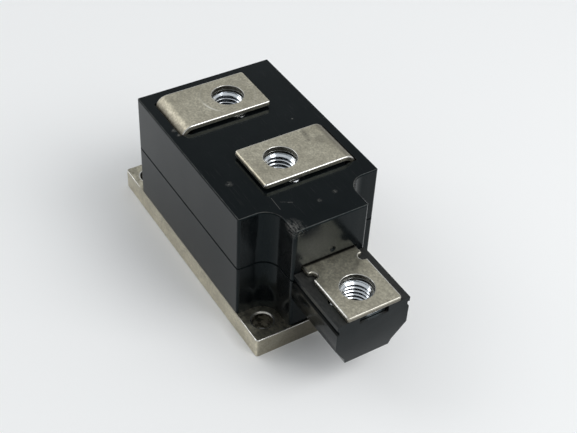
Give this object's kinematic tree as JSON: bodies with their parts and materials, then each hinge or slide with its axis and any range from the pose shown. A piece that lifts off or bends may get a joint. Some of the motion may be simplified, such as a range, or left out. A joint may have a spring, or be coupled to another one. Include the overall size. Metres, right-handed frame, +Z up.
{
  "type": "thyristor module",
  "caption": "Black moulded power thyristor module on a drilled metal base plate, with flat bolt-down terminal tabs over captive nuts and push-on signal tabs.",
  "frame": {"origin": "centre of the base plate's underside, which rests on the heat sink", "axes": "+X along the plate towards the low front terminal, +Y across the plate, +Z up from the heat sink"},
  "size_m": [0.1178, 0.05, 0.0496],
  "materials": {
    "nickel_plate": "satin nickel plate on copper, slightly warm",
    "black_plastic": "glossy black moulded thermoset",
    "zinc_steel": "bright zinc plate",
    "plain_steel": "plain spring and screw steel",
    "natural_plastic": "uncoloured insulating plastic",
    "ceramic": "white alumina",
    "molybdenum": "lapped molybdenum",
    "silicon": "polished silicon with a passivated rim",
    "copper": "bare copper",
    "brass": "bare brass",
    "white_lead": "white insulated wire",
    "red_lead": "red insulated wire"
  },
  "bodies": {
    "root": {"base_plate": "nickel_plate", "common_busbar": "nickel_plate", "front_top_busbar": "nickel_plate", "rear_top_busbar": "nickel_plate", "lower_housing": "black_plastic", "upper_housing": "black_plastic", "terminal_nuts": "zinc_steel", "clamp_screws": "plain_steel", "screw_sleeves": "natural_plastic", "rear_ceramic_disc": "ceramic", "front_ceramic_disc": "ceramic", "rear_lower_disc": "molybdenum", "front_lower_disc": "molybdenum", "rear_thyristor_pellet": "silicon", "front_thyristor_pellet": "silicon", "rear_contact_disc": "copper", "front_contact_disc": "copper", "rear_gate_bush": "natural_plastic", "front_gate_bush": "natural_plastic", "rear_gate_pin": "brass", "front_gate_pin": "brass", "rear_gate_spring": "plain_steel", "front_gate_spring": "plain_steel", "rear_gate_button": "natural_plastic", "front_gate_button": "natural_plastic", "rear_pressure_cap": "natural_plastic", "front_pressure_cap": "natural_plastic", "rear_disc_springs": "plain_steel", "front_disc_springs": "plain_steel", "rear_clamp_bridge": "plain_steel", "front_clamp_bridge": "plain_steel", "rear_gate_tab": "nickel_plate", "front_gate_tab": "nickel_plate", "rear_cathode_tab": "nickel_plate", "front_cathode_tab": "nickel_plate", "rear_gate_lead": "white_lead", "front_gate_lead": "white_lead", "rear_cathode_lead": "red_lead", "front_cathode_lead": "red_lead"}
  },
  "joints": []
}
